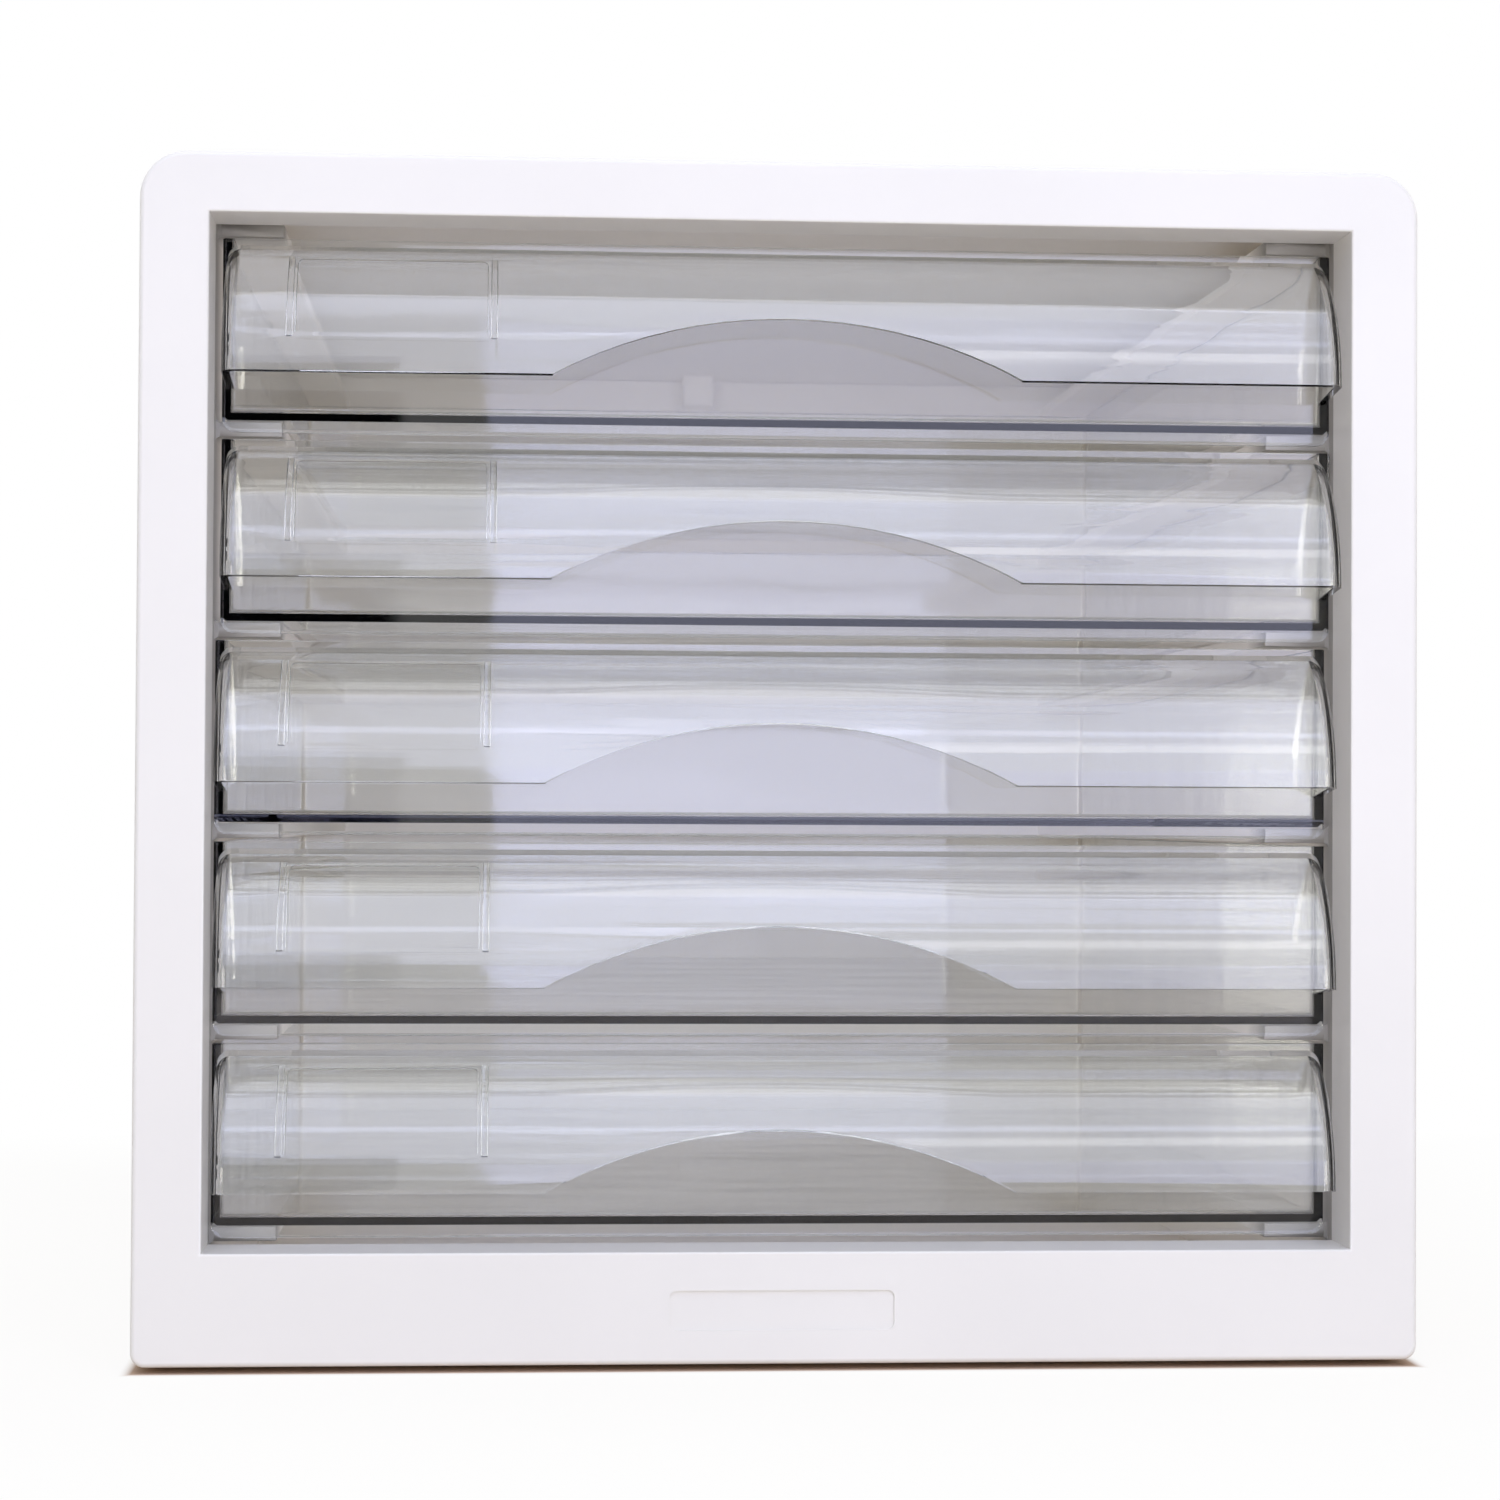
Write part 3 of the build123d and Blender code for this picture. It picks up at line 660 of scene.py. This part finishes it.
class DRAWERCASE_OT_stage(bpy.types.Operator):
    """Set the pale floor, the softboxes and the camera"""
    bl_idname = "drawer_case.stage"
    bl_label = "Stage"

    floor_half = 4.0
    floor_drop = 0.1 * MM
    # The floor's painted shadow and its glow change just inside the outline of the case, and its white is full this
    # far out
    fade_from = -0.02
    fade_to = 0.2
    outline_inner = 0.09
    outline_outer = 0.1
    lamp_distance = 1.8
    cool = (0.94, 1.0, 1.32)
    blue = (0.94, 1.0, 1.6)
    warm = (1.04, 1.0, 0.88)
    card_size = (1.2, 0.75)
    card_place = (-0.73, -1.75, 0.375)

    def floor(self, stage):
        """A pale sweep of floor that keeps the shadow of the case, with a painted brown shadow under it."""
        mesh = bmesh.new()
        bmesh.ops.create_grid(mesh, x_segments=1, y_segments=1, size=self.floor_half)
        bmesh.ops.translate(mesh, verts=mesh.verts, vec=(0, 0, cad_box[0][2] - self.floor_drop))
        data = bpy.data.meshes.new("floor")
        mesh.to_mesh(data)
        mesh.free()
        material, tree, output = new_material("pale floor")
        place = add(tree, "TexCoord").outputs["Object"]
        glow = add(tree, "Emission", {"Color": (1, 1, 1, 1), "Strength": 1.0})
        # Under the case the floor is painted a darker brown as painted shadow, and doesn't glow; further out it
        # fades into the white round it
        low, high = Vector(cad_box[0]), Vector(cad_box[1])
        off_centre = add(tree, "VectorMath", {0: place, 1: (low + high) / 2}, operation="SUBTRACT")
        either_side = add(tree, "VectorMath", {0: off_centre.outputs["Vector"]}, operation="ABSOLUTE")
        past_edge = add(
            tree, "VectorMath", {0: either_side.outputs["Vector"], 1: (high - low) / 2}, operation="SUBTRACT")
        sides = add(tree, "SeparateXYZ", {"Vector": past_edge.outputs["Vector"]})
        away = add(tree, "Math", {0: sides.outputs["X"], 1: sides.outputs["Y"]}, operation="MAXIMUM")
        fade = add(tree, "MapRange", {
            "Value": away.outputs["Value"], "From Min": self.fade_from, "From Max": self.fade_to,
            "To Min": 0.0, "To Max": 1.0})
        glow_ramp = add(tree, "ValToRGB", {"Fac": fade.outputs["Result"]})
        glow_ramp.color_ramp.elements[0].position = self.outline_inner
        glow_ramp.color_ramp.elements[0].color = (0, 0, 0, 1)
        glow_ramp.color_ramp.elements[1].color = (1, 1, 1, 1)
        beside = glow_ramp.color_ramp.elements.new(self.outline_outer)
        beside.color = (stage.floor_glow, stage.floor_glow, stage.floor_glow, 1)
        mottle = add(tree, "TexNoise", {"Vector": place, "Scale": per(300), "Detail": 2.0})
        shade = add(tree, "ValToRGB", {"Fac": mottle.outputs["Fac"]})
        shade.color_ramp.elements[0].color = (*linear("EFE6DA"), 1)
        shade.color_ramp.elements[1].color = (*linear("F2EADE"), 1)
        # Painted shadow: a darker, browner floor colour under the case
        painted_shadow_under = add(tree, "ValToRGB", {"Fac": fade.outputs["Result"]})
        painted_shadow_under.color_ramp.elements[0].position = self.outline_inner
        painted_shadow_under.color_ramp.elements[0].color = (*linear("D4C1B1"), 1)
        painted_shadow_under.color_ramp.elements[1].position = self.outline_outer
        painted_shadow_under.color_ramp.elements[1].color = (1, 1, 1, 1)
        tone = add(tree, "VectorMath", {0: shade.outputs["Color"], 1: painted_shadow_under.outputs["Color"]}, operation="MULTIPLY")
        matt = add(tree, "BsdfDiffuse", {"Color": tone.outputs["Vector"]})
        share = add(tree, "Math", {0: seen_directly(tree), 1: glow_ramp.outputs["Color"]}, operation="MULTIPLY")
        mix = add(tree, "MixShader", {"Fac": share.outputs["Value"]})
        tree.links.new(matt.outputs["BSDF"], mix.inputs[1])
        tree.links.new(glow.outputs["Emission"], mix.inputs[2])
        tree.links.new(mix.outputs["Shader"], output.inputs["Surface"])
        data.materials.append(material)
        floor = bpy.data.objects.new("floor", data)
        bpy.context.scene.collection.objects.link(floor)
        floor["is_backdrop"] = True

    def world(self, stage):
        """White where it is looked at, a low even light for the rest."""
        world = bpy.data.worlds.new("studio")
        world.use_nodes = True
        tree = world.node_tree
        tree.nodes.clear()
        even = add(tree, "Background", {"Color": (1, 1, 1, 1), "Strength": stage.ambient})
        white = add(tree, "Background", {"Color": (1, 1, 1, 1), "Strength": 1.0})
        mirror = add(tree, "LightPath").outputs["Is Glossy Ray"]
        seen = add(tree, "Math", {0: seen_directly(tree), 1: mirror}, operation="MAXIMUM")
        mix = add(tree, "MixShader", {"Fac": seen.outputs["Value"]})
        tree.links.new(even.outputs["Background"], mix.inputs[1])
        tree.links.new(white.outputs["Background"], mix.inputs[2])
        output = add(tree, "OutputWorld", {"Surface": mix.outputs["Shader"]})
        output.is_active_output = True
        bpy.context.scene.world = world

    def lamps(self, stage, middle):
        """Tinted softboxes before the case, and quieter plain ones for its other sides."""
        far = self.lamp_distance
        window = stage.window_brightness
        softbox("window softbox", middle, 0, radians(26), far, (2.4, 0.92), window, self.cool)
        before = Vector((middle.x, middle.y - 1.2, 0))
        softbox("ceiling softbox", before, 0, radians(90), 1.5, (2.4, 1.2), window, self.cool)
        softbox("low softbox", middle, radians(16), radians(5), far, (1.17, 0.44), stage.low_brightness, self.blue)
        for name, side in (("left key softbox", -18), ("right key softbox", 26)):
            softbox(name, middle, radians(side), radians(3), far, (0.45, 0.4), stage.key_brightness, self.warm)
        softbox("strip lamp", middle, radians(17), radians(27), 1.95, (0.55, 0.2), stage.strip_brightness)
        for name, side in (("left softbox", -100), ("right softbox", 100)):
            softbox(name, middle, radians(side), radians(30), far, (1.4, 1.4), stage.fill_brightness)
        softbox("back softbox", middle, radians(180), radians(35), far, (1.8, 1.8), stage.fill_brightness)
        softbox("top softbox", middle, 0, radians(85), far, (1.6, 1.2), stage.top_brightness)

    def flag(self):
        """A dark card before the case on the left, which only reflections show."""
        mesh = bmesh.new()
        bmesh.ops.create_grid(mesh, x_segments=1, y_segments=1, size=0.5)
        bmesh.ops.scale(mesh, verts=mesh.verts, vec=(*self.card_size, 1))
        bmesh.ops.rotate(mesh, verts=mesh.verts, matrix=Matrix.Rotation(pi / 2, 3, "X"))
        bmesh.ops.translate(mesh, verts=mesh.verts, vec=self.card_place)
        data = bpy.data.meshes.new("dark card")
        mesh.to_mesh(data)
        mesh.free()
        material, tree, output = new_material("black card")
        place = add(tree, "TexCoord").outputs["Object"]
        mottle = add(tree, "TexNoise", {"Vector": place, "Scale": per(200)})
        shade = add(tree, "MapRange", {"Value": mottle.outputs["Fac"], "To Min": 0.01, "To Max": 0.03})
        matt = add(tree, "BsdfDiffuse", {"Color": shade.outputs["Result"]})
        tree.links.new(matt.outputs["BSDF"], output.inputs["Surface"])
        data.materials.append(material)
        card = bpy.data.objects.new("dark_card", data)
        card.visible_camera = False
        card.visible_diffuse = False
        card.visible_transmission = False
        card.visible_shadow = False
        bpy.context.scene.collection.objects.link(card)
        card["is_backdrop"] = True

    def camera(self, stage):
        """The photograph's camera."""
        data = bpy.data.cameras.new("camera")
        data.sensor_width = 36
        data.lens = stage.lens
        camera = bpy.data.objects.new("camera", data)
        camera.matrix_world = (
            Matrix.Translation(stage.camera_place)
            @ Matrix.Rotation(-stage.camera_yaw, 4, "Z")
            @ Matrix.Rotation(pi / 2 + stage.camera_pitch, 4, "X")
            @ Matrix.Rotation(stage.camera_roll, 4, "Z"))
        bpy.context.scene.collection.objects.link(camera)
        bpy.context.scene.camera = camera

    def execute(self, context):
        stage = context.scene.drawer_case_stage
        middle = (Vector(cad_box[0]) + Vector(cad_box[1])) / 2
        self.floor(stage)
        self.world(stage)
        self.lamps(stage, middle)
        self.flag()
        self.camera(stage)
        context.scene.view_settings.view_transform = "Standard"
        # The light crosses many clear walls before it is spent
        context.scene.cycles.max_bounces = 24
        context.scene.cycles.diffuse_bounces = 8
        context.scene.cycles.transmission_bounces = 20
        context.scene.cycles.transparent_max_bounces = 40
        return {"FINISHED"}


class DRAWERCASE_PT_sidebar(bpy.types.Panel):
    """Lists the steps and settings of the drawer case"""
    bl_idname = "DRAWERCASE_PT_sidebar"
    bl_label = "Drawer Case"
    bl_space_type = "VIEW_3D"
    bl_region_type = "UI"
    bl_category = "Drawer Case"

    def draw(self, context):
        for settings in (context.scene.drawer_case_finish, context.scene.drawer_case_stage):
            for name in settings.__annotations__:
                self.layout.prop(settings, name)
        for step in STEPS:
            self.layout.operator(step.bl_idname)


STEPS = (
    DRAWERCASE_OT_front_frame, DRAWERCASE_OT_outer_panels, DRAWERCASE_OT_runner_racks,
    DRAWERCASE_OT_drawers, DRAWERCASE_OT_feet, DRAWERCASE_OT_screws, DRAWERCASE_OT_stage)
CLASSES = (DrawerCaseFinish, DrawerCaseStage, *STEPS, DRAWERCASE_PT_sidebar)


def register():
    for kind in CLASSES:
        bpy.utils.register_class(kind)
    bpy.types.Scene.drawer_case_finish = PointerProperty(type=DrawerCaseFinish)
    bpy.types.Scene.drawer_case_stage = PointerProperty(type=DrawerCaseStage)


def unregister():
    del bpy.types.Scene.drawer_case_stage
    del bpy.types.Scene.drawer_case_finish
    for kind in reversed(CLASSES):
        bpy.utils.unregister_class(kind)


def main():
    register()
    bpy.ops.drawer_case.front_frame()
    bpy.ops.drawer_case.outer_panels()
    bpy.ops.drawer_case.runner_racks()
    bpy.ops.drawer_case.drawers()
    bpy.ops.drawer_case.feet()
    bpy.ops.drawer_case.screws()
    bpy.ops.drawer_case.stage()
    boxes = {"cad": cad_box, "visual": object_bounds()}
    {name: [[float(c) for c in corner] for corner in box] for name, box in boxes.items()}


if __name__ == "__main__":
    main()
